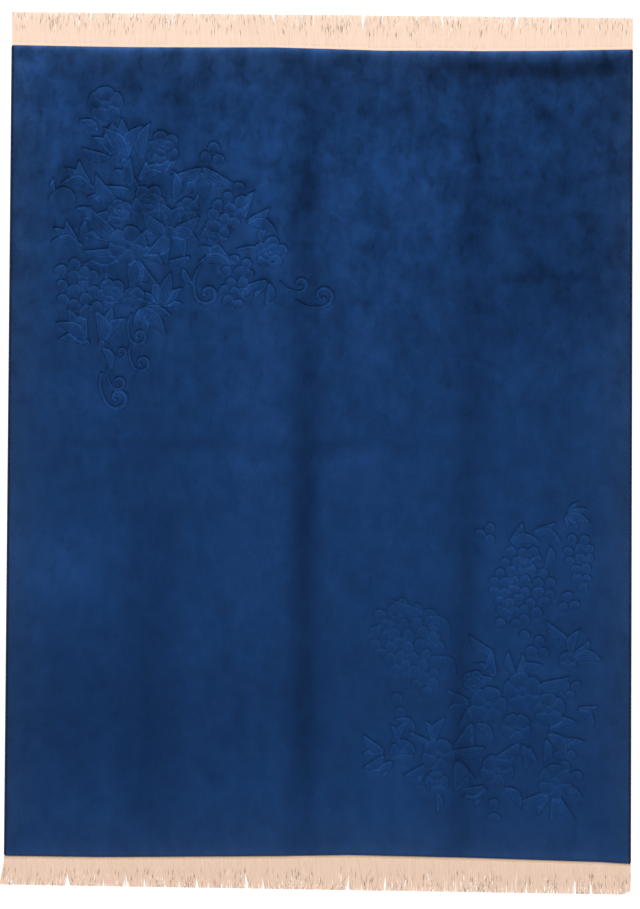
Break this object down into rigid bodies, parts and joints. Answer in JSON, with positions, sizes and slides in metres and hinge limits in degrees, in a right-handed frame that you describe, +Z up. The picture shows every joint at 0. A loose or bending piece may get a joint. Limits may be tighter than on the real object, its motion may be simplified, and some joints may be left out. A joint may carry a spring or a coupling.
{
  "type": "pile rug",
  "caption": "Large rectangular wool pile rug, deep blue, with two carved floral sprays and a cream cotton fringe at both ends, lying flat on the floor.",
  "frame": {"origin": "middle of the rug on the floor, under its pile", "axes": "+X across the rug's width, +Y along its length to the far fringe, +Z up from the floor through the pile"},
  "size_m": [2.4726, 3.4299, 0.015],
  "materials": {
    "blue_wool": "cut wool pile, matt, with a soft sheen",
    "blue_overcast": "wool yarn wrapped over the edge",
    "cream_cotton": "twisted cotton warp, matt"
  },
  "bodies": {
    "root": {"pile_field": "blue_wool", "selvedge_left": "blue_overcast", "selvedge_right": "blue_overcast", "fringe_far": "cream_cotton", "fringe_near": "cream_cotton"}
  },
  "joints": []
}
